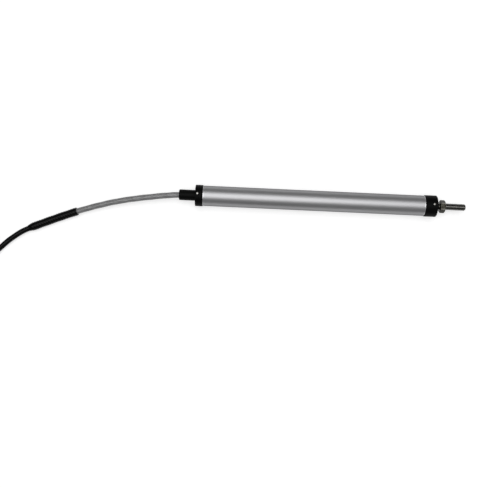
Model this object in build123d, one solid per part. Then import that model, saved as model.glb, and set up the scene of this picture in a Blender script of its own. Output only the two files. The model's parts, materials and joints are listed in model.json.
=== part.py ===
from build123d import *
import math
import os

os.makedirs("parts", exist_ok=True)

# A rod-type linear potentiometer lying on a flat surface, in millimetres.
# +X runs along the sensor towards the rod's tip, +Z is up, and the origin is under the middle
# of the sensor, from the boot's mouth to the rod's tip, on the surface that it lies on.

# Travel
stroke = 150.0
end_play = 2.0  # left over between the carriage and each bumper

# Housing tube and its two caps
tube_outer_diameter = 18.0
tube_wall = 1.5
tube_end_chamfer = 0.3
cap_rim = 0.5  # how far a cap stands proud of the tube
cap_edge_chamfer = 0.3
front_flange_length = 10.5
rear_flange_length = 6.5
front_spigot_length = 10.0
rear_spigot_length = 7.0
spigot_clearance = 0.03
fit_gap = 0.02  # between fixed pieces that are pushed into each other
wire_cavity_wall = 1.2  # between the cavity and the ring's groove
wire_cavity_depth = 5.0

# Rings between the spigots and the tube
o_ring_section = 1.2
o_ring_groove_play = 0.15
o_ring_from_flange = 3.0

# Socket set screws in the rims of the caps
screw_diameter = 2.5
screw_hole_clearance = 0.05
screw_recess = 0.4
screw_countersink = 0.25
screw_lean = 10.0  # degrees from straight up, towards +Y
screw_socket_width = 1.3
screw_socket_depth = 1.2
screw_end_chamfer = 0.2
front_screw_from_face = 3.0
rear_screw_from_face = 2.0
hole_overrun = 1.0  # how far a screw hole is cut past the rim

# Pull rod, its bush and its seal
rod_diameter = 6.0
rod_projection = 26.0  # from the front cap's face to the tip, with the rod pushed in
rod_tip_chamfer = 0.7
rod_running_clearance = 0.03
rod_passage_clearance = 0.5
bush_wall = 2.0
bush_length = 12.0
seal_thickness = 2.0
seal_width = 1.2
seal_lip_clearance = 0.05

# Lock nut on the rod
nut_across_flats = 10.0
nut_thickness = 4.7
nut_from_cap = 3.2
nut_face_share = 0.95  # the round face at each end, as a share of the width across flats
nut_chamfer_angle = 30.0

# Joint between the rod and the carriage
neck_diameter = 4.0
neck_tail = 1.0
neck_running_clearance = 0.05
axial_play = 0.05
clip_rim = 1.2  # how far the clip stands out of the neck
clip_thickness = 0.6
clip_groove_depth = 0.4
clip_opening_share = 0.8  # the clip's mouth, as a share of the groove's diameter
washer_rim = 0.4  # how far the washer stands out beyond the rod
washer_thickness = 0.5

# Carriage
carriage_length = 16.0
carriage_clearance = 0.15
carriage_land = 4.0
carriage_waist_depth = 0.6
guide_gap = 0.2

# Rubber end stops
front_bumper_length = 1.5
rear_bumper_length = 8.0
bumper_inset = 0.6
rear_bumper_wall = 2.4
terminal_pocket_clearance = 0.3

# Element board, its tracks and its rail
track_below_rod = 0.8
track_thickness = 0.1
trace_width = 0.6
track_from_trace = 0.3
track_from_lip = 0.3
track_from_board_end = 1.0
board_thickness = 0.8
rail_side_wall = 0.6  # between the board's lower corners and the bore
board_slot_gap = 0.05
lip_overhang = 0.3
lip_height = 0.4
rail_clearance = 0.05
rail_end_gap = 0.2

# Wiper under the carriage
wiper_thickness = 0.2
wiper_base_length = 3.0
wiper_arm_length = 5.0
wiper_arm_inset = 0.2  # how much narrower the arm is than its track, at each side
wiper_lift = 0.05  # left between the arm and its track, where the real one bears

# Terminals and the wires inside
terminal_diameter = 0.8
terminal_height = 1.2
terminal_spacing = 2.0
terminal_from_board_end = 2.8
core_diameter = 1.0
core_bend_radius = 1.2
cable_end_inset = 1.0

# Cable boot
boot_diameter = 9.5
boot_length = 14.5
boot_stub_diameter = 8.0
boot_stub_length = 4.5
boot_edge_radius = 0.8
boot_mouth_radius = 0.4
cable_hole_clearance = 0.2

# Cable, sleeve and lead
cable_diameter = 5.3
lead_diameter = 5.0
sleeve_diameter = 7.0
sleeve_gap = 0.05
arc_share = 0.45  # the share of a run that the arc at its end may take

# Wound-up lead and its bared end
coil_mean_diameter = 55.0
coil_turns_wide = 2
coil_turns_high = 2
coil_tie_thickness = 0.6
coil_edge_radius = 2.0
flying_core_diameter = 1.3
flying_core_spacing = 1.4
flying_core_length = 35.0
core_straight_run = 9.0  # before a core dips to the surface
core_dip_end = 22.0

# Worked out from the above
tube_radius = tube_outer_diameter / 2
bore_radius = tube_radius - tube_wall
cap_radius = tube_radius + cap_rim
spigot_radius = bore_radius - spigot_clearance
rod_radius = rod_diameter / 2
neck_radius = neck_diameter / 2
axis_height = cap_radius
groove_floor_radius = bore_radius - fit_gap - o_ring_section - fit_gap
tube_length = (
    rear_spigot_length
    + rear_bumper_length
    + end_play
    + carriage_length
    + stroke
    + end_play
    + front_bumper_length
    + front_spigot_length
)
overall_length = (
    boot_length + rear_flange_length + tube_length + front_flange_length + rod_projection
)

# Places along the axis, from the boot's mouth to the rod's tip
boot_mouth = -overall_length / 2
rear_face = boot_mouth + boot_length
tube_rear = rear_face + rear_flange_length
rear_spigot_face = tube_rear + rear_spigot_length
rear_bumper_face = rear_spigot_face + rear_bumper_length
carriage_rear = rear_bumper_face + end_play
carriage_front = carriage_rear + carriage_length
tube_front = tube_rear + tube_length
front_spigot_face = tube_front - front_spigot_length
front_face = tube_front + front_flange_length
rod_tip = front_face + rod_projection

# Heights from the axis, of what lies under the rod
track_top = -(rod_radius + track_below_rod)
board_top = track_top - track_thickness
board_bottom = board_top - board_thickness
lip_top = board_top + board_slot_gap + lip_height
guide_flat = lip_top + guide_gap
terminal_top = track_top + terminal_height

# Widths across the board, which is as wide as the bore lets it be
rail_radius = bore_radius - rail_clearance
slot_half_width = math.sqrt(rail_radius**2 - board_bottom**2) - rail_side_wall
board_half_width = slot_half_width - board_slot_gap
channel_half_width = board_half_width - lip_overhang
track_inner_edge = trace_width / 2 + track_from_trace
track_outer_edge = channel_half_width - track_from_lip
track_middle = (track_inner_edge + track_outer_edge) / 2

pieces = {}


def turned(*profile):
    """A solid turned about the sensor's axis from points of (x, radius)."""
    corners = [(x, axis_height + radius) for x, radius in profile]
    outline = Plane.XZ * Polyline(*corners, close=True)
    return revolve(make_face(outline), Axis((0, 0, axis_height), (1, 0, 0)))


def bar(radius, start, end):
    """A round bar on the sensor's axis."""
    middle = Pos((start + end) / 2, 0, axis_height) * Rot(0, 90, 0)
    return middle * Cylinder(radius, end - start)


def ring(outer_radius, inner_radius, start, end):
    """A plain ring on the sensor's axis."""
    return bar(outer_radius, start, end) - bar(inner_radius, start, end)


def block(start, end, left, right, low, high):
    """A box along the sensor, with its heights taken from the axis."""
    middle = Pos((start + end) / 2, (left + right) / 2, axis_height + (low + high) / 2)
    return middle * Box(end - start, right - left, high - low)


def above_flat(start, end):
    """All the room above the carriage's flat underside, to cut round pieces with."""
    return block(start, end, -tube_radius, tube_radius, guide_flat, tube_radius)


def rim(solid, place, radius):
    """The circular edges of a turned piece at one place along the axis."""
    circles = solid.edges().filter_by(GeomType.CIRCLE)
    at_place = [edge for edge in circles if abs(edge.center().X - place) < 0.001]
    return [edge for edge in at_place if abs(edge.radius - radius) < 0.001]


def outward(place):
    """The frame of a cap screw, with its +Z pointing out of the cap's rim."""
    return Pos(place, 0, axis_height) * Rot(-screw_lean, 0, 0)


def screw_hole(place, seat_radius):
    """The room that a cap screw needs, from the bore to outside the rim."""
    hole_radius = screw_diameter / 2 + screw_hole_clearance
    height = cap_radius + hole_overrun - seat_radius
    hole = Pos(0, 0, seat_radius + height / 2) * Cylinder(hole_radius, height)
    mouth = Cone(hole_radius, hole_radius + 2 * screw_countersink, 2 * screw_countersink)
    return outward(place) * (hole + Pos(0, 0, cap_radius) * mouth)


def cap_screw(place, seat_radius):
    """A socket set screw whose tip stands on what lies in the cap's bore."""
    length = cap_radius - screw_recess - seat_radius
    screw = Cylinder(screw_diameter / 2, length)
    screw = chamfer(screw.edges().filter_by(GeomType.CIRCLE), screw_end_chamfer)
    socket = RegularPolygon(screw_socket_width / 2, 6, major_radius=False)
    top = Pos(0, 0, length / 2 - screw_socket_depth)
    screw -= top * extrude(socket, screw_socket_depth)
    return outward(place) * Pos(0, 0, seat_radius + length / 2) * screw


def o_ring_groove(flange_side, inwards):
    """The groove in a spigot, and the ring that lies in it."""
    place = flange_side + inwards * o_ring_from_flange
    section_radius = o_ring_section / 2
    ring_radius = bore_radius - fit_gap - section_radius
    half_width = section_radius + o_ring_groove_play
    groove = ring(bore_radius, groove_floor_radius, place - half_width, place + half_width)
    lying = Pos(place, 0, axis_height) * Rot(0, 90, 0)
    return groove, lying * Torus(ring_radius, section_radius)


# Housing tube
pieces["housing_tube"] = turned(
    (tube_rear, bore_radius),
    (tube_rear, tube_radius - tube_end_chamfer),
    (tube_rear + tube_end_chamfer, tube_radius),
    (tube_front - tube_end_chamfer, tube_radius),
    (tube_front, tube_radius - tube_end_chamfer),
    (tube_front, bore_radius),
)

# Front cap, with the bush in its bore and the seal in the bush
bush_bore_radius = rod_radius + rod_running_clearance
bush_radius = bush_bore_radius + bush_wall
front_screw_place = front_face - front_screw_from_face
front_groove, front_o_ring = o_ring_groove(tube_front, -1)
front_cap = bar(cap_radius, tube_front, front_face)
front_cap += bar(spigot_radius, front_spigot_face, tube_front)
front_cap -= bar(bush_radius + fit_gap, front_face - bush_length, front_face)
front_cap -= bar(rod_radius + rod_passage_clearance, front_spigot_face, front_face)
front_cap -= front_groove
front_cap = chamfer(rim(front_cap, front_face, cap_radius), cap_edge_chamfer)
front_cap = chamfer(rim(front_cap, tube_front, cap_radius), cap_edge_chamfer)
front_cap -= screw_hole(front_screw_place, bush_radius)
pieces["front_cap"] = front_cap
pieces["front_o_ring"] = front_o_ring
pieces["front_cap_screw"] = cap_screw(front_screw_place, bush_radius + fit_gap)

seal_inner_radius = rod_radius + seal_lip_clearance
seal_radius = seal_inner_radius + seal_width
seal_rear = front_face - seal_thickness
rod_bush = ring(bush_radius, bush_bore_radius, front_face - bush_length, front_face)
rod_bush -= bar(seal_radius + fit_gap, seal_rear, front_face)
pieces["rod_bush"] = rod_bush
pieces["wiper_seal"] = ring(seal_radius, seal_inner_radius, seal_rear, front_face)

# Rear cap, with the boot's stub in its bore and a cavity for the wires
boot_radius = boot_diameter / 2
stub_radius = boot_stub_diameter / 2
stub_end = rear_face + boot_stub_length
cable_hole_radius = cable_diameter / 2 + cable_hole_clearance
cavity_start = rear_spigot_face - wire_cavity_depth
rear_screw_place = rear_face + rear_screw_from_face
rear_groove, rear_o_ring = o_ring_groove(tube_rear, 1)
rear_cap = bar(cap_radius, rear_face, tube_rear)
rear_cap += bar(spigot_radius, tube_rear, rear_spigot_face)
rear_cap -= bar(stub_radius + fit_gap, rear_face, stub_end)
rear_cap -= bar(cable_hole_radius, rear_face, rear_spigot_face)
rear_cap -= bar(groove_floor_radius - wire_cavity_wall, cavity_start, rear_spigot_face)
rear_cap -= rear_groove
rear_cap = chamfer(rim(rear_cap, rear_face, cap_radius), cap_edge_chamfer)
rear_cap = chamfer(rim(rear_cap, tube_rear, cap_radius), cap_edge_chamfer)
rear_cap -= screw_hole(rear_screw_place, stub_radius)
pieces["rear_cap"] = rear_cap
pieces["rear_o_ring"] = rear_o_ring
pieces["rear_cap_screw"] = cap_screw(rear_screw_place, stub_radius + fit_gap)

# Cable boot
cable_boot = bar(boot_radius, boot_mouth, rear_face) + bar(stub_radius, rear_face, stub_end)
cable_boot -= bar(cable_hole_radius, boot_mouth, stub_end)
cable_boot = fillet(rim(cable_boot, boot_mouth, boot_radius), boot_edge_radius)
cable_boot = fillet(rim(cable_boot, boot_mouth, cable_hole_radius), boot_mouth_radius)
pieces["cable_boot"] = cable_boot

# Rubber end stops, flat underneath to clear the rail, the rear one with a pocket over the pins
# that reaches past the cores, which come in on the axis
bumper_radius = spigot_radius - bumper_inset
pocket_half_width = terminal_spacing + core_diameter / 2 + terminal_pocket_clearance
pocket_top = max(terminal_top, core_diameter / 2) + terminal_pocket_clearance
front_bumper_face = front_spigot_face - front_bumper_length
front_bumper = ring(
    bumper_radius, rod_radius + rod_passage_clearance, front_bumper_face, front_spigot_face
)
pieces["front_bumper"] = front_bumper & above_flat(front_bumper_face, front_spigot_face)
rear_bumper = ring(
    bumper_radius, bumper_radius - rear_bumper_wall, rear_spigot_face, rear_bumper_face
)
rear_bumper -= block(
    rear_spigot_face, rear_bumper_face, -pocket_half_width, pocket_half_width, guide_flat, pocket_top
)
pieces["rear_bumper"] = rear_bumper & above_flat(rear_spigot_face, rear_bumper_face)

# Rail along the bottom of the tube, with the board held under its lips
rail_start = rear_spigot_face + rail_end_gap
rail_end = front_spigot_face - rail_end_gap
element_rail = bar(rail_radius, rail_start, rail_end)
element_rail &= block(rail_start, rail_end, -bore_radius, bore_radius, -bore_radius, lip_top)
element_rail -= block(
    rail_start, rail_end, -slot_half_width, slot_half_width, board_bottom, board_top + board_slot_gap
)
element_rail -= block(
    rail_start, rail_end, -channel_half_width, channel_half_width, board_top, lip_top
)
pieces["element_rail"] = element_rail
pieces["element_board"] = block(
    rail_start, rail_end, -board_half_width, board_half_width, board_bottom, board_top
)

# Printed tracks on the board: the resistance at -Y, the collector at +Y, the return between
track_start = rail_start + track_from_board_end
track_end = rail_end - track_from_board_end
for node, side in (("resistance_track", -1), ("collector_track", 1)):
    edges = sorted((side * track_inner_edge, side * track_outer_edge))
    pieces[node] = block(track_start, track_end, *edges, board_top, track_top)
return_trace = block(
    track_start, track_end, -trace_width / 2, trace_width / 2, board_top, track_top
)
return_trace += block(
    track_end - trace_width, track_end, -track_inner_edge, trace_width / 2, board_top, track_top
)
pieces["return_trace"] = return_trace

# Terminals at the board's rear end, and the cores that are soldered on them
terminal_place = rail_start + terminal_from_board_end
cable_end = rear_spigot_face - cable_end_inset
terminal_sides = {"red": -terminal_spacing, "white": 0.0, "green": terminal_spacing}
terminals = []
for colour, side in terminal_sides.items():
    foot = Pos(terminal_place, side, axis_height + (track_top + terminal_top) / 2)
    terminals.append(foot * Cylinder(terminal_diameter / 2, terminal_height))
    wire_path = FilletPolyline(
        (cable_end, side, axis_height),
        (terminal_place, side, axis_height),
        (terminal_place, side, axis_height + terminal_top),
        radius=core_bend_radius,
    )
    wire_section = Plane(origin=wire_path @ 0, z_dir=wire_path % 0) * Circle(core_diameter / 2)
    pieces["core_wire_" + colour] = sweep(wire_section, path=wire_path)
pieces["solder_terminals"] = Compound(children=terminals)

# Carriage, with a waist between its two lands and the washer against its front
carriage_radius = bore_radius - carriage_clearance
neck_hole_radius = neck_radius + neck_running_clearance
washer_front = carriage_front + washer_thickness
wiper_rear = (carriage_rear + carriage_front - wiper_base_length - wiper_arm_length) / 2
wiper_knee = wiper_rear + wiper_base_length
wiper_tip = wiper_knee + wiper_arm_length
wiper_half_width = track_outer_edge - wiper_arm_inset
wiper_arm_half_width = wiper_half_width - track_middle
carriage = bar(carriage_radius, carriage_rear, carriage_front)
carriage -= ring(
    bore_radius,
    carriage_radius - carriage_waist_depth,
    carriage_rear + carriage_land,
    carriage_front - carriage_land,
)
carriage &= above_flat(carriage_rear, carriage_front)
carriage -= bar(neck_hole_radius, carriage_rear, carriage_front)
carriage -= block(
    wiper_rear - fit_gap,
    wiper_tip + wiper_thickness,
    -wiper_half_width - fit_gap,
    wiper_half_width + fit_gap,
    guide_flat,
    guide_flat + wiper_thickness,
)
pieces["carriage"] = carriage
pieces["thrust_washer"] = ring(
    rod_radius + washer_rim, neck_hole_radius, carriage_front, washer_front
)

# Wiper: a base let into the carriage and a sprung arm down to each track
wiper_foot = track_top + wiper_lift
wiper = block(
    wiper_rear, wiper_knee, -wiper_half_width, wiper_half_width,
    guide_flat, guide_flat + wiper_thickness,
)
arm_outline = Polyline(
    (wiper_knee - wiper_thickness, axis_height + guide_flat),
    (wiper_knee, axis_height + guide_flat),
    (wiper_tip, axis_height + wiper_foot),
    (wiper_tip, axis_height + wiper_foot + wiper_thickness),
    (wiper_knee, axis_height + guide_flat + wiper_thickness),
    (wiper_knee - wiper_thickness, axis_height + guide_flat + wiper_thickness),
    close=True,
)
arm_side = make_face(Plane.XZ * arm_outline)
for side in (-1, 1):
    arm = extrude(arm_side, wiper_arm_half_width, both=True)
    wiper += Pos(0, side * track_middle, 0) * arm
pieces["wiper"] = wiper

# Pull rod: a long bar with a grooved neck that turns in the carriage
shoulder = washer_front + axial_play
clip_front = carriage_rear - axial_play
clip_rear = clip_front - clip_thickness
groove_radius = neck_radius - clip_groove_depth
pieces["pull_rod"] = turned(
    (clip_rear - axial_play - neck_tail, 0),
    (clip_rear - axial_play - neck_tail, neck_radius),
    (clip_rear - axial_play, neck_radius),
    (clip_rear - axial_play, groove_radius),
    (clip_front + axial_play, groove_radius),
    (clip_front + axial_play, neck_radius),
    (shoulder, neck_radius),
    (shoulder, rod_radius),
    (rod_tip - rod_tip_chamfer, rod_radius),
    (rod_tip, rod_radius - rod_tip_chamfer),
    (rod_tip, 0),
)
clip_radius = neck_radius + clip_rim
clip_mouth = groove_radius * clip_opening_share
retaining_clip = ring(clip_radius, groove_radius + fit_gap, clip_rear, clip_front)
retaining_clip -= block(clip_rear, clip_front, -clip_mouth, clip_mouth, -clip_radius, 0)
pieces["retaining_clip"] = retaining_clip

# Lock nut, with a corner pointing to each side and both ends chamfered
nut_rear = front_face + nut_from_cap
nut_front = nut_rear + nut_thickness
nut_corner_radius = nut_across_flats / 2 / math.cos(math.pi / 6)
nut_face_radius = nut_face_share * nut_across_flats / 2
nut_chamfer = (nut_corner_radius - nut_face_radius) * math.tan(math.radians(nut_chamfer_angle))
hexagon = RegularPolygon(nut_across_flats / 2, 6, major_radius=False)
nut_plane = Plane(origin=(nut_rear, 0, axis_height), x_dir=(0, 1, 0), z_dir=(1, 0, 0))
lock_nut = extrude(nut_plane * hexagon, nut_thickness)
lock_nut &= turned(
    (nut_rear, 0),
    (nut_rear, nut_face_radius),
    (nut_rear + nut_chamfer, nut_corner_radius),
    (nut_front - nut_chamfer, nut_corner_radius),
    (nut_front, nut_face_radius),
    (nut_front, 0),
)
lock_nut -= bar(rod_radius + fit_gap, nut_rear, nut_front)
pieces["lock_nut"] = lock_nut


# The cable's route, from inside the rear cap to where the lead joins its coil
sleeve_height = sleeve_diameter / 2
lead_height = lead_diameter / 2
route = [
    Vector(cable_end, 0, axis_height),
    Vector(boot_mouth - 12.0, -0.15, axis_height),
    Vector(boot_mouth - 51.5, -7.05, 7.6),
    Vector(boot_mouth - 82.0, -15.4, 4.9),
    Vector(boot_mouth - 102.5, -22.8, sleeve_height),
    Vector(boot_mouth - 120.5, -30.1, sleeve_height),
    Vector(boot_mouth - 140.0, -38.3, sleeve_height),
    Vector(boot_mouth - 154.5, -49.5, lead_height),
    Vector(boot_mouth - 165.0, -60.5, lead_height),
    Vector(boot_mouth - 174.6, -71.6, lead_height),
]


def corner_radii(points):
    """The arc at each inner point of a route, as large as its two runs allow."""
    radii = []
    for before, here, after in zip(points, points[1:], points[2:]):
        shorter = min((here - before).length, (after - here).length)
        half_turn = math.radians((here - before).get_angle(after - here)) / 2
        radii.append(arc_share * shorter / math.tan(half_turn))
    return radii


def tube_along(node, points, radii, outer_diameter, inner_diameter=0.0):
    """A cord's tube along straight runs and tangent arcs."""
    path = FilletPolyline(*points, radius=radii)
    section = Circle(outer_diameter / 2)
    area = math.pi * (outer_diameter**2 - inner_diameter**2) / 4
    if inner_diameter:
        section -= Circle(inner_diameter / 2)
    tube = sweep(Plane(origin=path @ 0, z_dir=path % 0) * section, path=path)
    bends = [round(radius, 1) for radius in radii]
    print(node, "length", round(path.length, 1), "bend radii", bends, end=" ")
    print("volume", round(tube.volume, 1), "section times length", round(area * path.length, 1))
    pieces[node] = tube


# The cable and the lead meet in the middle of the sleeve that covers both
route_radii = corner_radii(route)
sleeve_start = (route[3] + route[4]) / 2
cable_meets_lead = (route[4] + route[5]) / 2
sleeve_stop = (route[5] + route[6]) / 2
sleeve_bore = max(cable_diameter, lead_diameter) + 2 * sleeve_gap
tube_along("signal_cable", route[:5] + [cable_meets_lead], route_radii[:4], cable_diameter)
tube_along("signal_lead", [cable_meets_lead] + route[5:], route_radii[4:], lead_diameter)
tube_along(
    "splice_sleeve", [sleeve_start, route[4], route[5], sleeve_stop], route_radii[3:5],
    sleeve_diameter, sleeve_bore,
)

# The rest of the lead, wound into a neat coil that the route runs into
coil_radius = coil_mean_diameter / 2
coil_half_width = coil_turns_wide * lead_diameter / 2
coil_height = coil_tie_thickness + coil_turns_high * lead_diameter
outer_turn_radius = coil_radius + coil_half_width - lead_diameter / 2
arrival = (route[-1] - route[-2]).normalized()
coil_centre = route[-1] + outer_turn_radius * Vector(arrival.Y, -arrival.X, 0)
coil_centre = Vector(coil_centre.X, coil_centre.Y, 0)
coil_section = Pos(coil_radius, coil_height / 2) * RectangleRounded(
    2 * coil_half_width, coil_height, coil_edge_radius
)
pieces["lead_coil"] = Pos(coil_centre) * revolve(Plane.XZ * coil_section, Axis.Z)

# The lead's end beyond the coil, and the bared cores that come out of it
outside = coil_radius + coil_half_width
tail = [
    coil_centre + Vector(-outside + 2.0, -15.0, 5.4),
    coil_centre + Vector(-outside - 2.8, 3.0, lead_height),
    coil_centre + Vector(-outside - 4.0, 21.0, lead_height),
]
tube_along("lead_tail", tail, corner_radii(tail), lead_diameter)
tail_direction = (tail[2] - tail[1]).normalized()
tail_across = Vector(tail_direction.Y, -tail_direction.X, 0)
core_dip = flying_core_diameter / 2 - lead_height
for colour, side, fan in (("red", -1, 3.4), ("white", 0, 0.0), ("green", 1, 2.4)):
    core_start = tail[2] + side * flying_core_spacing * tail_across
    core = [
        core_start,
        core_start + core_straight_run * tail_direction,
        core_start + core_dip_end * tail_direction + Vector(side * fan / 2, 0, core_dip),
        core_start + flying_core_length * tail_direction + Vector(side * fan, 0, core_dip),
    ]
    tube_along("flying_core_" + colour, core, corner_radii(core), flying_core_diameter)

for node, shape in pieces.items():
    export_step(shape, f"parts/{node}.step")
print(len(pieces), "nodes, coil centre", coil_centre)
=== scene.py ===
import json
import math

import bmesh
import bpy
from mathutils import Matrix, Vector


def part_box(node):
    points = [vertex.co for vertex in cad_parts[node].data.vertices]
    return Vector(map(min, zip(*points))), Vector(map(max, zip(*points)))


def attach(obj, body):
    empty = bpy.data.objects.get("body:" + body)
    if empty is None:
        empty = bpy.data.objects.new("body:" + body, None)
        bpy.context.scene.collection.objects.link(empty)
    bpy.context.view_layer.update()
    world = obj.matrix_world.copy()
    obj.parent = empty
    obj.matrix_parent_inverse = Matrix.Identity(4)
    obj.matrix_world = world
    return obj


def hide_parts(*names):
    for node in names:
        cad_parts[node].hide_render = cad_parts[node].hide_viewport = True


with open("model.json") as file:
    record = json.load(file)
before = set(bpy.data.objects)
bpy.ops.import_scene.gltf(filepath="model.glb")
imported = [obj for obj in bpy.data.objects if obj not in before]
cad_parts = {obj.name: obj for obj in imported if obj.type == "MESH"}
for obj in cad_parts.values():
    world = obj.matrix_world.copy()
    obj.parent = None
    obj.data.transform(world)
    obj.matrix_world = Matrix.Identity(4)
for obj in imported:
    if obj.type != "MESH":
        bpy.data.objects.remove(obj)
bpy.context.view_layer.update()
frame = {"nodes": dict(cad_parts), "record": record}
print("frame loaded:", len(frame["nodes"]), "nodes")

# places that the frame gives, in metres
mm = 0.001
tubeLow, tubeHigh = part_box("housing_tube")
axisHeight = (tubeLow.z + tubeHigh.z) / 2
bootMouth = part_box("cable_boot")[0].x
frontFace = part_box("front_cap")[1].x
rodLow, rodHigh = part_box("pull_rod")
coilLow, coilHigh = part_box("lead_coil")
coilCentre = Vector(((coilLow.x + coilHigh.x) / 2, (coilLow.y + coilHigh.y) / 2, 0))


# Camera

cameraPlan = {
    "place": (-0.06755, -0.0412, 0.6315),  # looks straight down
    "turn": 2.61,  # degrees
    "focalPixels": 700.0,
    "imagePixels": 488.0,
    "clipStart": 0.01,
}


def makeCamera():
    plan = cameraPlan
    lens = bpy.data.cameras.new("camera")
    lens.lens = lens.sensor_width * plan["focalPixels"] / plan["imagePixels"]
    lens.clip_start = plan["clipStart"]
    camera = bpy.data.objects.new("camera", lens)
    camera.location = plan["place"]
    camera.rotation_euler = (0, 0, math.radians(plan["turn"]))
    bpy.context.scene.collection.objects.link(camera)
    bpy.context.scene.camera = camera


# Materials

# the grain that every finish has: its noise, where its two colours sit on it, and its bump
grainPlan = {
    "detail": 3.0,
    "roughness": 0.6,
    "darkerAt": 0.3,
    "colourAt": 0.7,
    "bump": 0.5,
}

# rings that a lathe leaves, drawn wider apart than the real feed, which is too fine to show
turningPlan = {
    "spacing": 0.5 * mm,
    "depth": 0.006 * mm,
    "bump": 0.4,
    "waver": 0.3,
    "detail": 2.0,
    "wavePeriod": 0.314,  # a wave texture of scale 1 repeats after this
}

finishes = {}


def linearColour(hexColour):
    parts = [int(hexColour[place:place + 2], 16) / 255 for place in (1, 3, 5)]
    linear = [part / 12.92 if part <= 0.04045 else ((part + 0.055) / 1.055) ** 2.4 for part in parts]
    return (*linear, 1.0)


# adds one node: inputs are numbers, colours or the outputs of other nodes
def addNode(tree, kind, inputs, **settings):
    node = tree.nodes.new(kind)
    for name, value in settings.items():
        setattr(node, name, value)
    for name, value in inputs.items():
        if isinstance(value, bpy.types.NodeSocket):
            tree.links.new(value, node.inputs[name])
        else:
            node.inputs[name].default_value = value
    return node


def centredOnAxis(tree, scale=(1, 1, 1)):
    here = addNode(tree, "ShaderNodeTexCoord", {}).outputs["Object"]
    moved = {"Vector": here, "Location": (0, 0, -axisHeight * scale[2]), "Scale": scale}
    return addNode(tree, "ShaderNodeMapping", moved).outputs["Vector"]


def placeAlong(tree):
    here = addNode(tree, "ShaderNodeTexCoord", {}).outputs["Object"]
    return addNode(tree, "ShaderNodeSeparateXYZ", {"Vector": here}).outputs["X"]


# grain and relief are in millimetres, spread is how far the roughness varies, and stretch draws
# the grain out along an axis
def makeFinish(name, colour, darker, roughness, grain, spread=0.04, relief=0.01,
               stretch=(1, 1, 1), metallic=0.0, shine=0.5, edge="#ffffff"):
    plan = grainPlan
    finish = bpy.data.materials.new(name)
    finish.use_nodes = True
    tree = finish.node_tree
    shader = tree.nodes["Principled BSDF"]
    shader.inputs["Metallic"].default_value = metallic
    shader.inputs["Specular IOR Level"].default_value = shine
    shader.inputs["Specular Tint"].default_value = linearColour(edge)  # dulls a metal's far edges
    where = centredOnAxis(tree, stretch)
    grainy = addNode(tree, "ShaderNodeTexNoise", {
        "Vector": where, "Scale": 1 / (grain * mm), "Detail": plan["detail"],
        "Roughness": plan["roughness"]})
    tone = addNode(tree, "ShaderNodeValToRGB", {"Fac": grainy.outputs["Fac"]})
    tone.color_ramp.elements[0].position = plan["darkerAt"]
    tone.color_ramp.elements[0].color = linearColour(darker)
    tone.color_ramp.elements[1].position = plan["colourAt"]
    tone.color_ramp.elements[1].color = linearColour(colour)
    gloss = addNode(tree, "ShaderNodeMapRange", {
        "Value": grainy.outputs["Fac"], "To Min": roughness - spread, "To Max": roughness + spread})
    bumped = addNode(tree, "ShaderNodeBump", {
        "Height": grainy.outputs["Fac"], "Strength": plan["bump"], "Distance": relief * mm})
    tree.links.new(tone.outputs["Color"], shader.inputs["Base Color"])
    tree.links.new(gloss.outputs["Result"], shader.inputs["Roughness"])
    tree.links.new(bumped.outputs["Normal"], shader.inputs["Normal"])
    return finish


# mixes another colour into a finish, by an amount from 0 to 1 that a socket gives
# a mix of colours has its share and colours at inputs 0, 6 and 7, and its result at output 2
def mixIn(finish, amount, colour):
    tree = finish.node_tree
    shader = tree.nodes["Principled BSDF"]
    tone = shader.inputs["Base Color"].links[0].from_socket
    mixed = addNode(tree, "ShaderNodeMix", {
        0: amount, 6: tone, 7: linearColour(colour)}, data_type="RGBA")
    tree.links.new(mixed.outputs[2], shader.inputs["Base Color"])


# fine rings about the sensor's axis, over a finish's own grain
def addTurningMarks(finish):
    plan = turningPlan
    tree = finish.node_tree
    shader = tree.nodes["Principled BSDF"]
    grain = shader.inputs["Normal"].links[0].from_socket
    rings = addNode(tree, "ShaderNodeTexWave", {
        "Vector": centredOnAxis(tree), "Scale": plan["wavePeriod"] / plan["spacing"],
        "Distortion": plan["waver"], "Detail": plan["detail"]},
        wave_type="RINGS", rings_direction="X")
    cut = addNode(tree, "ShaderNodeBump", {
        "Height": rings.outputs["Fac"], "Normal": grain, "Strength": plan["bump"],
        "Distance": plan["depth"]})
    tree.links.new(cut.outputs["Normal"], shader.inputs["Normal"])
    return finish


# a narrow band at each end of the tube, where it was faced off: glossier, and painted brighter as the
# highlight that its end chamfer catches
def addFacedEnds(finish):
    plan = tubePlan
    tree = finish.node_tree
    shader = tree.nodes["Principled BSDF"]
    gloss = shader.inputs["Roughness"].links[0].from_socket
    middle = (tubeLow.x + tubeHigh.x) / 2
    half = (tubeHigh.x - tubeLow.x) / 2
    fromMiddle = addNode(tree, "ShaderNodeMath", {0: placeAlong(tree), 1: middle}, operation="SUBTRACT")
    away = addNode(tree, "ShaderNodeMath", {0: fromMiddle.outputs[0]}, operation="ABSOLUTE")
    band = addNode(tree, "ShaderNodeMapRange", {
        "Value": away.outputs[0], "From Min": half - plan["facedFrom"],
        "From Max": half - plan["facedBand"]})
    mixIn(finish, band.outputs["Result"], plan["facedHighlightColour"])
    polish = addNode(tree, "ShaderNodeMix", {
        0: band.outputs["Result"], 2: gloss, 3: plan["facedRoughness"]})  # a mix of two numbers
    tree.links.new(polish.outputs[0], shader.inputs["Roughness"])
    return finish


# a finish that turns to another colour beyond a radius from the sensor's axis, or within it
def addBrightRadius(finish, band, colour):
    tree = finish.node_tree
    away = addNode(tree, "ShaderNodeVectorMath", {0: centredOnAxis(tree, (0, 1, 1))}, operation="LENGTH")
    bright = addNode(tree, "ShaderNodeMapRange", {
        "Value": away.outputs["Value"], "From Min": band[0], "From Max": band[1]})
    mixIn(finish, bright.outputs["Result"], colour)
    return finish
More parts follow.
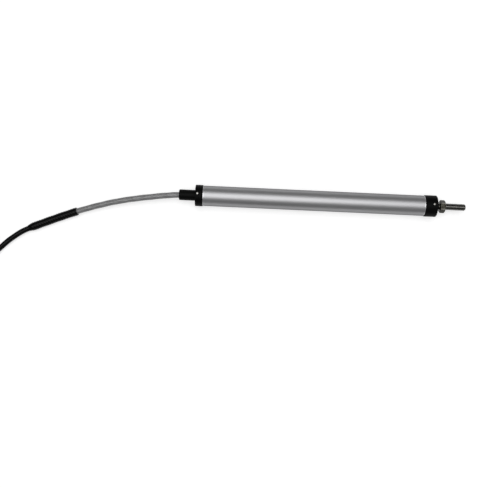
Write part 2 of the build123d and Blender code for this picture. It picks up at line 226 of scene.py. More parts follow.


# the plain shaft behind the thread in its own bright steel colour, from just inside the front cap
# backwards; outwards it keeps the darker thread colours, painted shade
def addBrightSteelShaft(finish, colour):
    tree = finish.node_tree
    start, end = (frontFace + away for away in rodPlan["brightSteelBand"])
    clean = addNode(tree, "ShaderNodeMapRange", {
        "Value": placeAlong(tree), "From Min": start, "From Max": end})
    mixIn(finish, clean.outputs["Result"], colour)
    return finish


# ridges that wind round the cable: how many, how deep, and how much painted shade darkens the hollows
# between them
def addWindingRidges(finish, starts, depth, hollowShade):
    tree = finish.node_tree
    shader = tree.nodes["Principled BSDF"]
    grain = shader.inputs["Normal"].links[0].from_socket
    place = addNode(tree, "ShaderNodeUVMap", {}, uv_map="cordUV").outputs["UV"]
    girth = math.pi * cablePlan["cableDiameter"]
    across = (starts, starts * girth / cablePlan["ridgeLay"], 0)
    phase = addNode(tree, "ShaderNodeVectorMath", {0: place, 1: across}, operation="DOT_PRODUCT")
    turned = addNode(tree, "ShaderNodeMath", {
        0: phase.outputs["Value"], 1: 2 * math.pi}, operation="MULTIPLY")
    ridges = addNode(tree, "ShaderNodeMath", {0: turned.outputs[0]}, operation="SINE")
    raised = addNode(tree, "ShaderNodeBump", {
        "Height": ridges.outputs[0], "Normal": grain, "Strength": 1.0, "Distance": depth})
    tree.links.new(raised.outputs["Normal"], shader.inputs["Normal"])
    # painted shade: darker in the hollows between the ridges
    shade = addNode(tree, "ShaderNodeMapRange", {
        "Value": ridges.outputs[0], "From Min": -1.0, "From Max": 1.0, "To Min": hollowShade, "To Max": 0.0})
    mixIn(finish, shade.outputs["Result"], "#000000")
    return finish


def makeHousingFinishes():
    # clear satin anodised aluminium, extruded: a soft grey metal with faint lines drawn along it
    satin = makeFinish(
        "satinAnodisedAluminium", "#a6a6a8", "#a0a0a1", roughness=0.45, grain=0.5, spread=0.02,
        relief=0.002, stretch=(0.04, 1, 1), metallic=1.0, edge="#6c6c6c")
    finishes["satin_anodised_tube"] = addFacedEnds(satin)
    # black anodised aluminium, turned: deep black with a dull sheen
    black = makeFinish(
        "blackAnodisedAluminium", "#080809", "#050505", roughness=0.46, grain=0.35, spread=0.05,
        relief=0.006, shine=0.045)
    finishes["black_anodised_cap"] = addTurningMarks(black)
    # stainless steel, turned: the small screws, grey and glossy
    finishes["screw_steel"] = makeFinish(
        "turnedStainlessSteel", "#8a8986", "#7c7b78", roughness=0.16, grain=0.3, relief=0.002,
        metallic=1.0)
    # nitrile rubber, moulded: very dark and matt
    finishes["seal_rubber"] = makeFinish(
        "nitrileRubber", "#121212", "#0c0c0c", roughness=0.6, grain=0.25, spread=0.06, shine=0.2)
    # chloroprene rubber, moulded in a sparked mould: matt with a fine even grain
    finishes["boot_rubber"] = makeFinish(
        "mouldedRubber", "#070707", "#040404", roughness=0.5, grain=0.3, spread=0.08, relief=0.02,
        shine=0.06)


def makeRodFinishes():
    # stainless steel, ground: a bright shaft; on the thread the flanks are painted dark, as shade in its
    # grooves, and the crests and roots paler, as the highlight they catch
    steel = makeFinish(
        "groundStainlessSteel", "#1c1c1d", "#161617", roughness=0.1, grain=0.6, spread=0.02,
        relief=0.002, metallic=1.0)
    crests = addBrightRadius(steel, rodPlan["crestHighlightBand"], "#787772")
    thread = addBrightRadius(crests, rodPlan["rootHighlightBand"], "#6f6e6b")
    finishes["rod_stainless"] = addBrightSteelShaft(thread, "#b9b8b4")
    # zinc plated steel with a dark passivate: olive black and cloudy, paler towards the corners
    zinc = makeFinish(
        "darkZincPlate", "#3a3933", "#161512", roughness=0.22, grain=1.7, spread=0.06, relief=0.003,
        metallic=1.0)
    finishes["nut_zinc"] = addBrightRadius(zinc, rodPlan["nutCornerBand"], "#504f4b")
    # phosphated spring steel: dark and dull
    finishes["clip_steel"] = makeFinish(
        "phosphatedSpringSteel", "#4a4a48", "#3a3a39", roughness=0.5, grain=0.3, spread=0.05,
        relief=0.004, metallic=1.0)
    # sintered bronze: brown gold with open pores
    finishes["bush_bronze"] = makeFinish(
        "sinteredBronze", "#a07a4a", "#6e522f", roughness=0.45, grain=0.2, spread=0.08, relief=0.02,
        metallic=1.0)


def makeInnerFinishes():
    # spring bronze strip: smooth and golden
    finishes["wiper_bronze"] = makeFinish(
        "springBronzeStrip", "#c49a5c", "#b58c50", roughness=0.26, grain=0.4, spread=0.03,
        relief=0.002, stretch=(0.1, 1, 1), metallic=1.0)
    # tinned brass pins: bright grey
    finishes["tinned_pin"] = makeFinish(
        "tinnedBrass", "#c9c9c6", "#b4b4b0", roughness=0.25, grain=0.2, spread=0.05, relief=0.004,
        metallic=1.0)
    # acetal, machined: milky white with a faint gloss
    finishes["carriage_plastic"] = makeFinish(
        "machinedAcetal", "#eeebe3", "#e5e2d9", roughness=0.35, grain=0.8, spread=0.05, relief=0.003)
    # filled nylon, extruded: charcoal grey
    finishes["rail_plastic"] = makeFinish(
        "extrudedNylon", "#3a3a3d", "#303033", roughness=0.5, grain=0.6, spread=0.05, relief=0.004,
        stretch=(0.1, 1, 1))
    # low-friction sheet: white and waxy
    finishes["washer_plastic"] = makeFinish(
        "lowFrictionSheet", "#f0f0ee", "#e4e4e2", roughness=0.4, grain=0.5)
    # glass laminate: tan, with the mottle of its cloth
    finishes["board_laminate"] = makeFinish(
        "glassLaminate", "#b4a465", "#9c8d52", roughness=0.4, grain=0.45, relief=0.006)
    # conductive plastic ink: black and smooth, with faint screen marks
    finishes["carbon_track"] = makeFinish(
        "conductivePlasticInk", "#1b1b1c", "#121213", roughness=0.3, grain=0.15, spread=0.03,
        relief=0.002)
    # silver ink: dull light grey
    finishes["silver_track"] = makeFinish(
        "silverInk", "#b5b5b2", "#9e9e9b", roughness=0.4, grain=0.15, spread=0.05, relief=0.003,
        metallic=0.6)


def makeCordFinishes():
    # soft vinyl, extruded over the three twisted cores: mid grey with a satin sheen, and ridges
    # along the lay, with painted shade between them, coarser than the real ones, which are too fine to
    # show
    grey = makeFinish(
        "greyVinylJacket", "#7a7a7b", "#727273", roughness=0.24, grain=1.2, relief=0.006, shine=0.8)
    for starts, depth, hollowShade in cablePlan["ridges"]:
        grey = addWindingRidges(grey, starts, depth, hollowShade)
    finishes["grey_jacket"] = grey
    # soft vinyl, extruded, in black: even, with a soft sheen
    finishes["black_jacket"] = makeFinish(
        "blackVinylJacket", "#070708", "#040404", roughness=0.28, grain=0.9, spread=0.06, shine=0.09)
    # shrunk polyolefin sleeve: black with a soft sheen and a drawn skin
    finishes["heat_shrink"] = makeFinish(
        "shrunkPolyolefin", "#060606", "#040404", roughness=0.25, grain=0.8, spread=0.06, shine=0.09)
    # nylon strap: black and smooth
    finishes["nylon_tie"] = makeFinish(
        "blackNylonTie", "#1a1a1a", "#121212", roughness=0.4, grain=0.4, spread=0.05, relief=0.004,
        shine=0.4)
    # vinyl core insulation in the three core colours: clean and slightly glossy
    for slot, name, colour, darker in (
            ("red_core", "redCoreVinyl", "#b3211d", "#a01b18"),
            ("white_core", "whiteCoreVinyl", "#e6e5e0", "#dad9d4"),
            ("green_core", "greenCoreVinyl", "#1c7a3c", "#176a33")):
        finishes[slot] = makeFinish(name, colour, darker, roughness=0.38, grain=0.5, relief=0.003)


def dressFrame():
    slots = {row["node"]: row["material_slot"] for row in frame["record"]["subparts"]}
    for name, node in frame["nodes"].items():
        node.data.materials.clear()
        node.data.materials.append(finishes[slots[name]])


# Making pieces

sharpEdge = math.radians(32)


def addPiece(name, shape, finish, body):
    bmesh.ops.recalc_face_normals(shape, faces=shape.faces)
    mesh = bpy.data.meshes.new(name)
    shape.to_mesh(mesh)
    shape.free()
    mesh.polygons.foreach_set("use_smooth", [True] * len(mesh.polygons))
    mesh.set_sharp_from_angle(angle=sharpEdge)
    mesh.materials.append(finishes[finish])
    piece = bpy.data.objects.new(name, mesh)
    bpy.context.scene.collection.objects.link(piece)
    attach(piece, body)
    return piece


# extrudes an open edge once, and gives the new vertices and the new open edge
def grow(shape, edges):
    made = bmesh.ops.extrude_edge_only(shape, edges=edges)["geom"]
    verts = [item for item in made if isinstance(item, bmesh.types.BMVert)]
    return verts, [item for item in made if isinstance(item, bmesh.types.BMEdge)]


# carries a ring on through stations of (x, radius) about the sensor's axis, and closes it
def turnOn(shape, edges, stations):
    for x, radius in stations:
        verts, edges = grow(shape, edges)
        for vert in verts:
            out = Vector((0, vert.co.y, vert.co.z - axisHeight)).normalized() * radius
            vert.co = Vector((x, out.y, out.z + axisHeight))
    bmesh.ops.contextual_create(shape, geom=edges)


# eases from 0 to 1 as the share does, and stays there outside that
def ease(share):
    share = min(max(share, 0), 1)
    return share * share * (3 - 2 * share)


# Tube

tubePlan = {
    "wall": 1.5 * mm,
    "endChamfer": 0.3 * mm,
    "steps": 144,
    "facedBand": 0.75 * mm,
    "facedFrom": 0.9 * mm,  # where the band starts to show
    # painted highlight of the tube's end chamfer
    "facedHighlightColour": "#c4c4c6",
    "facedRoughness": 0.38,
}


def makeTube():
    plan = tubePlan
    radius = (tubeHigh.z - tubeLow.z) / 2
    bore = radius - plan["wall"]
    cut = plan["endChamfer"]
    outline = (
        (tubeLow.x, bore),
        (tubeLow.x, radius - cut),
        (tubeLow.x + cut, radius),
        (tubeHigh.x - cut, radius),
        (tubeHigh.x, radius - cut),
        (tubeHigh.x, bore),
    )
    shape = bmesh.new()
    verts = [shape.verts.new((x, 0, axisHeight + out)) for x, out in outline]
    edges = [shape.edges.new(pair) for pair in zip(verts, verts[1:] + verts[:1])]
    bmesh.ops.spin(
        shape, geom=verts + edges, cent=(0, 0, axisHeight), axis=(1, 0, 0),
        angle=2 * math.pi, steps=plan["steps"], use_duplicate=False, use_merge=True)
    tube = addPiece("anodised_tube", shape, "satin_anodised_tube", "housing")
    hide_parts("housing_tube")
    print("tube:", len(tube.data.polygons), "faces")


# Socket set screws in the caps

screwPlan = {
    "diameter": 2.5 * mm,
    "lean": 10.0,  # degrees from straight up, towards +Y
    "tipChamfer": 0.2 * mm,
    "crown": 0.33 * mm,  # the top is domed by this much
    "crownSteps": 6,
    "socketWidth": 1.3 * mm,
    "socketRim": 0.82 * mm,
    "socketDepth": 1.2 * mm,
    "sides": 48,
}


# grows rings about Z: each has its radius, as a number or by bearing, and its height
def growRings(shape, edges, rings):
    for radiusAt, height in rings:
        verts, edges = grow(shape, edges)
        for vert in verts:
            bearing = math.atan2(vert.co.y, vert.co.x)
            out = radiusAt(bearing) if callable(radiusAt) else radiusAt
            vert.co = Vector((math.cos(bearing) * out, math.sin(bearing) * out, height))
    bmesh.ops.contextual_create(shape, geom=edges)


# how far a hexagonal socket's wall is from its middle, by bearing
def socketRadius(bearing):
    return screwPlan["socketWidth"] / 2 / math.cos((bearing % math.radians(60)) - math.radians(30))


def makeCapScrew(node):
    plan = screwPlan
    low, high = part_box(node)
    radius = plan["diameter"] / 2
    lean = math.radians(plan["lean"])
    length = (high.z - low.z - plan["diameter"] * math.sin(lean)) / math.cos(lean)
    crown = (radius ** 2 + plan["crown"] ** 2) / (2 * plan["crown"])  # the dome's own radius
    rings = [(radius, plan["tipChamfer"])]
    for step in range(plan["crownSteps"] + 1):
        out = radius + (plan["socketRim"] - radius) * step / plan["crownSteps"]
        rings.append((out, length - crown + math.sqrt(crown ** 2 - out ** 2)))
    rings.append((socketRadius, rings[-1][1]))
    rings.append((socketRadius, length - plan["socketDepth"]))
    shape = bmesh.new()
    bmesh.ops.create_circle(
        shape, cap_ends=True, segments=plan["sides"], radius=radius - plan["tipChamfer"])
    growRings(shape, list(shape.edges), rings)
    turned = Matrix.Rotation(-lean, 4, "X")
    foot = (low + high) / 2 - turned @ Vector((0, 0, length / 2))
    bmesh.ops.transform(shape, matrix=Matrix.Translation(foot) @ turned, verts=shape.verts)
    screw = addPiece("socket_" + node, shape, "screw_steel", "housing")
    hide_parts(node)
    print("screw:", screw.name)


# Pull rod with its thread

rodPlan = {
    "radius": 3.0 * mm,
    "pitch": 1.0 * mm,
    "threadDepth": 0.58 * mm,
    "profile": ((0.0, 0), (0.125, 0), (0.4375, 1), (0.6875, 1), (1.0, 0)),  # shares of pitch and depth
    "threadFromCap": 1.6 * mm,
    "runOut": 1.8 * mm,
    "spareTurns": 2,  # cut off again behind the thread's start
    "stepsPerTurn": 48,
    "weld": 0.001 * mm,  # points nearer to each other than this become one
    "cutAllowance": 0.0001 * mm,  # points nearer to a cutting plane than this lie in it
    "tipRadius": 2.25 * mm,
    "tipFace": 0.9,  # the flat at the tip, as a share of its radius
    "shoulderGap": 0.05 * mm,
    "neckRadius": 2.0 * mm,
    "neckEdge": 0.25 * mm,
    "grooveRadius": 1.6 * mm,
    "grooveFromEnd": (1.0 * mm, 1.7 * mm),
    "crestHighlightBand": (2.8 * mm, 2.95 * mm),  # radii over which the crests are painted paler, as a highlight
    # the roots are painted paler too, as a highlight, within these radii
    "rootHighlightBand": (2.5 * mm, 2.44 * mm),
    "nutCornerBand": (5.3 * mm, 5.75 * mm),
    "brightSteelBand": (0.2 * mm, -0.8 * mm),  # from the front cap's face
}


# a coil of thread at full depth, from some turns before its start to past the rod's tip
def spinThread(shape, threadStart):
    plan = rodPlan
    pitch = plan["pitch"]
    first = threadStart - plan["spareTurns"] * pitch
    turns = math.ceil((rodHigh.x - first) / pitch) + 1
    verts = []
    for along, deep in plan["profile"]:
        out = plan["radius"] - plan["threadDepth"] * deep
        verts.append(shape.verts.new((first + along * pitch, 0, axisHeight + out)))
    edges = [shape.edges.new(pair) for pair in zip(verts, verts[1:])]
    bmesh.ops.spin(
        shape, geom=verts + edges, cent=(0, 0, axisHeight), axis=(1, 0, 0),
        dvec=(pitch / plan["stepsPerTurn"], 0, 0), angle=2 * math.pi * turns,
        steps=turns * plan["stepsPerTurn"], use_duplicate=False, use_merge=False)
    bmesh.ops.remove_doubles(shape, verts=shape.verts, dist=plan["weld"])


# runs the thread out at its start, chamfers it at the tip, and cuts both ends square
def finishThread(shape, threadStart):
    plan = rodPlan
    radius = plan["radius"]
    for vert in shape.verts:
        out = Vector((0, vert.co.y, vert.co.z - axisHeight))
        deep = radius - out.length
        cut = min(max((vert.co.x - threadStart) / plan["runOut"], 0), 1)
        chamfer = plan["tipRadius"] + max(rodHigh.x - vert.co.x, 0)
        out = out.normalized() * min(radius - deep * cut, chamfer)
        vert.co = Vector((vert.co.x, out.y, out.z + axisHeight))
    for place, way in ((threadStart - plan["pitch"] / 2, -1), (rodHigh.x, 1)):
        everything = list(shape.verts) + list(shape.edges) + list(shape.faces)
        bmesh.ops.bisect_plane(
            shape, geom=everything, dist=plan["cutAllowance"], plane_co=(place, 0, 0),
            plane_no=(way, 0, 0), clear_outer=True)


def makePullRod():
    plan = rodPlan
    radius = plan["radius"]
    threadStart = frontFace + plan["threadFromCap"]
    shape = bmesh.new()
    spinThread(shape, threadStart)
    finishThread(shape, threadStart)
    openEdges = [edge for edge in shape.edges if edge.is_boundary]
    tip = [edge for edge in openEdges if edge.verts[0].co.x > rodHigh.x - plan["pitch"]]
    back = [edge for edge in openEdges if edge.verts[0].co.x < rodHigh.x - plan["pitch"]]
    turnOn(shape, tip, ((rodHigh.x, plan["tipRadius"] * plan["tipFace"]),))
    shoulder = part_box("thrust_washer")[1].x + plan["shoulderGap"]
    grooveStart, grooveEnd = (rodLow.x + away for away in plan["grooveFromEnd"])
    edge = plan["neckEdge"]
    turnOn(shape, back, (
        (shoulder + edge, radius),
        (shoulder, radius - edge),
        (shoulder, plan["neckRadius"]),
        (grooveEnd, plan["neckRadius"]),
        (grooveEnd, plan["grooveRadius"]),
        (grooveStart, plan["grooveRadius"]),
        (grooveStart, plan["neckRadius"]),
        (rodLow.x + edge, plan["neckRadius"]),
        (rodLow.x, plan["neckRadius"] - edge),
    ))
    rod = addPiece("threaded_pull_rod", shape, "rod_stainless", "rod")
    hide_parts("pull_rod")
    print("pull rod:", len(rod.data.polygons), "faces")


# Lines and tubes for the cords

# points along a smooth spline through a route's control points
def smoothLine(points, steps):
    curve = bpy.data.curves.new("route", "CURVE")
    curve.dimensions = "3D"
    curve.resolution_u = steps
    spline = curve.splines.new("NURBS")
    spline.points.add(len(points) - 1)
    for spot, place in zip(spline.points, points):
        spot.co = (*place, 1)
    spline.order_u = 3
    spline.use_endpoint_u = True
    line = bpy.data.objects.new("route", curve)
    bpy.context.scene.collection.objects.link(line)
    mesh = bpy.data.meshes.new_from_object(line)
    found = [vert.co.copy() for vert in mesh.vertices]
    bpy.data.objects.remove(line)
    bpy.data.curves.remove(curve)
    bpy.data.meshes.remove(mesh)
    return found


def lineLength(path):
    return sum((after - before).length for before, after in zip(path, path[1:]))


def partOfLine(path, start, end):
    gone = 0.0
    kept = []
    for before, after in zip(path, path[1:]):
        step = (after - before).length
        if gone + step > start and not kept:
            kept.append(before.lerp(after, (start - gone) / step))
        if gone + step >= end:
            kept.append(before.lerp(after, (end - gone) / step))
            return kept
        if kept:
            kept.append(after)
        gone += step
    return kept


# a tube along a path, with its radius given by the way gone and the angle round it
def sweepTube(path, radiusAt, sides):
    shape = bmesh.new()
    around = shape.verts.layers.float.new("around")
    along = shape.verts.layers.float.new("along")
    ring = bmesh.ops.create_circle(shape, segments=sides, radius=1.0)["verts"]
    for step, vert in enumerate(ring):
        vert[around] = 2 * math.pi * step / sides
    edges = list(shape.edges)
    heading = (path[1] - path[0]).normalized()
    across = heading.cross(Vector((0, 0, 1))).normalized()
    ends = [edges]
    gone = 0.0
    for number, place in enumerate(path):
        if number:
            ring, edges = grow(shape, edges)
            gone += (place - path[number - 1]).length
            onward = path[min(number + 1, len(path) - 1)] - path[number - 1]
            across.rotate(heading.rotation_difference(onward))
            heading = onward.normalized()
        up = across.cross(heading)
        for vert in ring:
            turn = vert[around]
            vert[along] = gone
            vert.co = place + (across * math.cos(turn) + up * math.sin(turn)) * radiusAt(gone, turn)
    ends.append(edges)
    unwrapTube(shape, around, along, 2 * math.pi * radiusAt(0, 0))
    return shape, ends


# lays a tube out flat, round it and along it, both in turns of its girth
def unwrapTube(shape, around, along, girth):
    flat = shape.loops.layers.uv.new("cordUV")
    for face in shape.faces:
        closing = max(loop.vert[around] for loop in face.loops) > 1.5 * math.pi  # near the seam
        for loop in face.loops:
            turn = loop.vert[around]
            if closing and turn < math.pi:
                turn += 2 * math.pi
            loop[flat].uv = (turn / (2 * math.pi), loop.vert[along] / girth)


# shrinks an open end inwards onto its line, and optionally goes back into the tube
def closeEnd(shape, edges, place, inner, inward=None):
    verts, edges = grow(shape, edges)
    outer = sum((vert.co - place).length for vert in verts) / len(verts)
    for vert in verts:
        vert.co = place + (vert.co - place) * (inner / outer)
    if inward is not None:
        verts, edges = grow(shape, edges)
        bmesh.ops.translate(shape, verts=verts, vec=inward)
    bmesh.ops.contextual_create(shape, geom=edges)


# a cord or wire along a path, with both its ends closed in to a small face
def addCordPiece(name, path, radiusAt, sides, inner, finish):
    shape, ends = sweepTube(path, radiusAt, sides)
    for edges, place in zip(ends, (path[0], path[-1])):
        closeEnd(shape, edges, place, inner)
    return addPiece(name, shape, finish, "housing")


# Cable, lead and the sleeve over their joint

cablePlan = {
    "cableDiameter": 5.3 * mm,
    "leadDiameter": 5.0 * mm,
    "startX": -0.1,  # inside the rear cap
    "heldInBoot": 3 * mm,  # from here to the mouth the boot holds the cable straight
    "cores": 3,
    "layRise": 0.06 * mm,  # how far the twisted cores lift the jacket
    "layLength": 44 * mm,
    "ridges": ((20, 0.03 * mm, 0.2), (6, 0.04 * mm, 0.1)),  # number round, depth and painted shade between them
    "ridgeLay": 62 * mm,
    "steps": 44,
    "leadSteps": 12,
    "sides": 36,
    "leadSides": 28,
    "endShare": 0.4,  # radius of the flat at a cord's end, as a share of its diameter
}

sleevePlan = {
    "diameter": 7.0 * mm,
    "wall": 0.7 * mm,
    "shrunkRise": 0.35 * mm,  # over the lead at its shrunk end
    "taper": 4.0 * mm,
    "reach": 1.2 * mm,  # how far its cut end reaches on over the cable
    "drawn": 3.6 * mm,  # and how far its shrunk end reaches on along the lead
    "mouthDepth": 2 * mm,
    "ridges": 7,
    "ridgeStep": 2.3 * mm,
    "ridgeRise": 0.11 * mm,
    "swell": 0.06 * mm,  # over the soldered joints inside
    "swellStep": 12.083 * mm,
    "sides": 48,
    "endShare": 0.45,  # radius of the flat at its shrunk end, as a share of the lead's diameter
}

# from inside the rear cap to where the lead joins its coil, in millimetres from the boot's mouth
routePlan = [
    (-12.0, -1.1, 9.5),
    (-51.5, -7.05, 7.6),
    (-82.0, -15.4, 4.9),
    (-102.5, -22.8, 3.5),
    (-120.5, -30.1, 3.5),
    (-140.0, -38.3, 3.5),
    (-154.5, -49.5, 2.5),
    (-165.0, -60.5, 2.5),
    (-174.6, -71.6, 2.5),
]
joint = 4  # the cable meets the lead halfway from this point of the route to the next

# lengths in millimetres and angles in degrees
coilPlan = {
    "pointsPerTurn": 16,
    "turns": (  # line radius and height of each turn, and where it moves on to the next, in degrees to go
        (30.0, 3.1, 80, 0),
        (25.0, 3.1, 150, 80),
        (25.0, 8.1, 230, 150),
    ),
    "arrivalHeight": 2.5,
    "rise": 60,
    "topRadius": 30.0,
    "topHeight": 8.1,
    "leave": -88.0,
    "tail": (  # where the lead comes down outside the coil, from the coil's centre
        (-11.0, -30.6, 7.9),
        (-22.6, -25.4, 6.9),
        (-31.8, -16.4, 5.2),
        (-35.6, -6.6, 3.5),
        (-36.3, 3.0, 2.5),
        (-36.5, 21.0, 2.5),
    ),
}


def routePoints():
    start = Vector((cablePlan["startX"], 0, axisHeight))
    return [start] + [Vector((bootMouth, 0, 0)) + Vector(place) * mm for place in routePlan]


def middleOfRun(route, number):
    return (route[number] + route[number + 1]) / 2


# a round jacket that the twisted cores inside lift a little
def jacketRadius(diameter):
    plan = cablePlan

    def radiusAt(gone, turn):
        lay = plan["cores"] * (turn - 2 * math.pi * gone / plan["layLength"])
        return diameter / 2 + plan["layRise"] * (math.cos(lay) - 1)

    return radiusAt


def sleeveRadius(length):
    plan = sleevePlan
    full = plan["diameter"] / 2
    small = cablePlan["leadDiameter"] / 2 + plan["shrunkRise"]

    def radiusAt(gone, turn):
        share = ease((length - gone) / plan["taper"])
        swell = plan["swell"] * math.sin(2 * math.pi * gone / plan["swellStep"])
        wave = plan["ridges"] * turn + 2 * math.pi * gone / plan["ridgeStep"]
        drawn = plan["ridgeRise"] * math.sin(wave)
        return small + (full - small + swell + drawn) * share

    return radiusAt


def coilPoints():
    plan = coilPlan
    arrival = Vector((bootMouth / mm + routePlan[-1][0], routePlan[-1][1], 0)) - coilCentre / mm
    startAngle = math.degrees(math.atan2(arrival.y, arrival.x))
    step = 360 / plan["pointsPerTurn"]
    outward = 1 / math.cos(math.radians(step / 2))  # a spline runs inside its control points
    turns = plan["turns"] + ((plan["topRadius"], plan["topHeight"], 0, 0),)
    points = []
    whole = 360 * len(plan["turns"]) + startAngle - plan["leave"]
    for number in range(1, int(whole / step) + 1):
        turned = number * step
        turn = min(int(turned // 360), len(plan["turns"]))
        toGo = 360 - turned % 360
        radius, height, moveFrom, moveTo = turns[turn]
        if turn < len(plan["turns"]):
            share = ease((moveFrom - toGo) / (moveFrom - moveTo))
            radius += (turns[turn + 1][0] - radius) * share
            height += (turns[turn + 1][1] - height) * share
        if turned < plan["rise"]:
            height = plan["arrivalHeight"] + (height - plan["arrivalHeight"]) * turned / plan["rise"]
        bearing = math.radians(startAngle - turned)
        out = Vector((math.cos(bearing), math.sin(bearing), 0)) * radius * outward
        points.append(coilCentre + (out + Vector((0, 0, height))) * mm)
    return points + [coilCentre + Vector(place) * mm for place in plan["tail"]]


def makeGreyCable(route):
    plan = cablePlan
    diameter = plan["cableDiameter"]
    held = Vector((bootMouth + plan["heldInBoot"], 0, axisHeight))
    points = [route[0], held] + route[1:joint + 1] + [middleOfRun(route, joint)]
    path = smoothLine(points, plan["steps"])
    cable = addCordPiece(
        "grey_signal_cable", path, jacketRadius(diameter), plan["sides"],
        diameter * plan["endShare"], "grey_jacket")
    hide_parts("signal_cable")
    print("cable:", round(lineLength(path), 4), "m")
    return cable, path


def makeBlackLead(route):
    plan = cablePlan
    diameter = plan["leadDiameter"]
    points = [middleOfRun(route, joint)] + route[joint + 1:] + coilPoints()
    path = smoothLine(points, plan["leadSteps"])
    lead = addCordPiece(
        "black_signal_lead", path, jacketRadius(diameter), plan["leadSides"],
        diameter * plan["endShare"], "black_jacket")
    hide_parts("signal_lead", "lead_coil", "lead_tail")
    print("lead:", round(lineLength(path), 4), "m")
    return lead, path


def makeSleeve(route, cablePath):
    plan = sleevePlan
    meeting = middleOfRun(route, joint)
    overCable = (middleOfRun(route, joint - 1) - meeting).length + plan["reach"]
    overLead = (middleOfRun(route, joint + 1) - meeting).length + plan["drawn"]
    cableLength = lineLength(cablePath)
    path = partOfLine(cablePath, cableLength - overCable, cableLength)
    path += partOfLine(smoothLine([meeting] + route[joint + 1:], cablePlan["steps"]), 0, overLead)[1:]
    shape, ends = sweepTube(path, sleeveRadius(lineLength(path)), plan["sides"])
    inward = (path[1] - path[0]).normalized() * plan["mouthDepth"]
    closeEnd(shape, ends[0], path[0], plan["diameter"] / 2 - plan["wall"], inward)
    closeEnd(shape, ends[1], path[-1], cablePlan["leadDiameter"] * plan["endShare"])
    sleeve = addPiece("heat_shrink_sleeve", shape, "heat_shrink", "housing")
    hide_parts("splice_sleeve")
    print("sleeve:", len(sleeve.data.polygons), "faces")
    return sleeve


# Ties round the coil

tiePlan = {
    "width": 2.6 * mm,
    "thickness": 0.55 * mm,
    "gap": 0.02 * mm,  # between the strap and the lead
    "sides": 32,
    "flatFrom": 0.9,  # a face that looks this much along the strap's width is one of its open sides
    "head": (3.6 * mm, 4.2 * mm, 2.4 * mm),
    "headLift": 0.1 * mm,
    "headRounding": 0.4 * mm,
    "tail": (3.2 * mm, 2.2 * mm, 0.9 * mm),  # the strap's cut end, standing out of the head
    "tailLift": 0.7 * mm,
    "tailInHead": 0.5 * mm,
    "tailRounding": 0.15 * mm,
    "ties": (  # bearing on the coil, and the line radius and height of each strand inside, in mm
        (-63.0, ((30.0, 3.1), (25.0, 3.1), (25.0, 8.1), (30.0, 8.1))),
        (112.0, ((30.0, 3.1), (25.0, 3.1), (30.0, 8.1))),
    ),
}


# the strap is stretched round its strands: the side of their hull, given a thickness
def wrapStrap(shape, strands):
    plan = tiePlan
    radius = cablePlan["leadDiameter"] / 2 + plan["gap"]
    for side in (-1, 1):
        for out, height in strands:
            place = Matrix.Translation((out * mm, side * plan["width"] / 2, height * mm))
            turned = place @ Matrix.Rotation(math.radians(90), 4, "X")
            bmesh.ops.create_circle(shape, segments=plan["sides"], radius=radius, matrix=turned)
    hull = bmesh.ops.convex_hull(shape, input=shape.verts)
    bmesh.ops.delete(shape, geom=hull["geom_interior"], context="VERTS")
    flat = [face for face in shape.faces if abs(face.normal.y) > plan["flatFrom"]]
    bmesh.ops.delete(shape, geom=flat, context="FACES_ONLY")
    loose = [edge for edge in shape.edges if not edge.link_faces]
    bmesh.ops.delete(shape, geom=loose, context="EDGES")
    bmesh.ops.recalc_face_normals(shape, faces=shape.faces)
    bmesh.ops.solidify(shape, geom=shape.faces, thickness=-plan["thickness"])


def addRoundedBlock(shape, size, out, low, rounding):
    place = Matrix.Translation((out, 0, low + size[2] / 2)) @ Matrix.Diagonal((*size, 1))
    block = bmesh.ops.create_cube(shape, size=1.0, matrix=place)["verts"]
    edges = list({edge for vert in block for edge in vert.link_edges})
    bmesh.ops.bevel(
        shape, geom=edges, offset=rounding, segments=2, profile=0.5, affect="EDGES", material=-1)


def makeTie(name, bearing, strands):
    plan = tiePlan
    shape = bmesh.new()
    wrapStrap(shape, strands)
    highest = max(height for radius, height in strands)
    over = [radius * mm for radius, height in strands if height == highest]
    middle = sum(over) / len(over)
    seat = highest * mm + cablePlan["leadDiameter"] / 2 + plan["headLift"]
    tailPlace = middle + (plan["head"][0] + plan["tail"][0]) / 2 - plan["tailInHead"]
    addRoundedBlock(shape, plan["head"], middle, seat, plan["headRounding"])
    addRoundedBlock(shape, plan["tail"], tailPlace, seat + plan["tailLift"], plan["tailRounding"])
    spin = Matrix.Translation(coilCentre) @ Matrix.Rotation(math.radians(bearing), 4, "Z")
    bmesh.ops.transform(shape, matrix=spin, verts=shape.verts)
    tie = addPiece(name, shape, "nylon_tie", "housing")
    print("tie:", name)
    return tie


# Bared cores at the lead's end

corePlan = {
    "diameter": 1.3 * mm,
    "spacing": 1.4 * mm,
    "straight": 9.0 * mm,
    "dipEnd": 22.0 * mm,
    "length": 35.0 * mm,
    "height": 0.65 * mm,
    "steps": 12,
    "sides": 20,
    "endShare": 0.35,  # radius of the flat at its end, as a share of its diameter
    "insulated": 0.88,  # share of a core that keeps its insulation
    "wireDiameter": 0.75 * mm,
    "wireInside": 1 * mm,  # how far the wire goes back into the insulation
    "strands": 7,
    "strandRise": 0.07,  # how far a strand stands out, as a share of the wire's radius
    "strandStep": 2.513 * mm,
    "wireSides": 28,
    "wireEndShare": 0.3,
    "fans": (("red", -1, 3.4 * mm), ("white", 0, 0.0), ("green", 1, 2.4 * mm)),
}


# a core comes out level with the lead, dips to the surface and fans out
def corePoints(start, side, fan):
    plan = corePlan
    before, last = (Vector(place) * mm for place in coilPlan["tail"][-2:])
    onward = (last - before).normalized()
    across = Vector((onward.y, -onward.x, 0))
    first = start + across * side * plan["spacing"]
    down = plan["height"] - last.z
    return [
        first,
        first + onward * plan["straight"],
        first + onward * plan["dipEnd"] + Vector((side * fan / 2, 0, down)),
        first + onward * plan["length"] + Vector((side * fan, 0, down)),
    ]


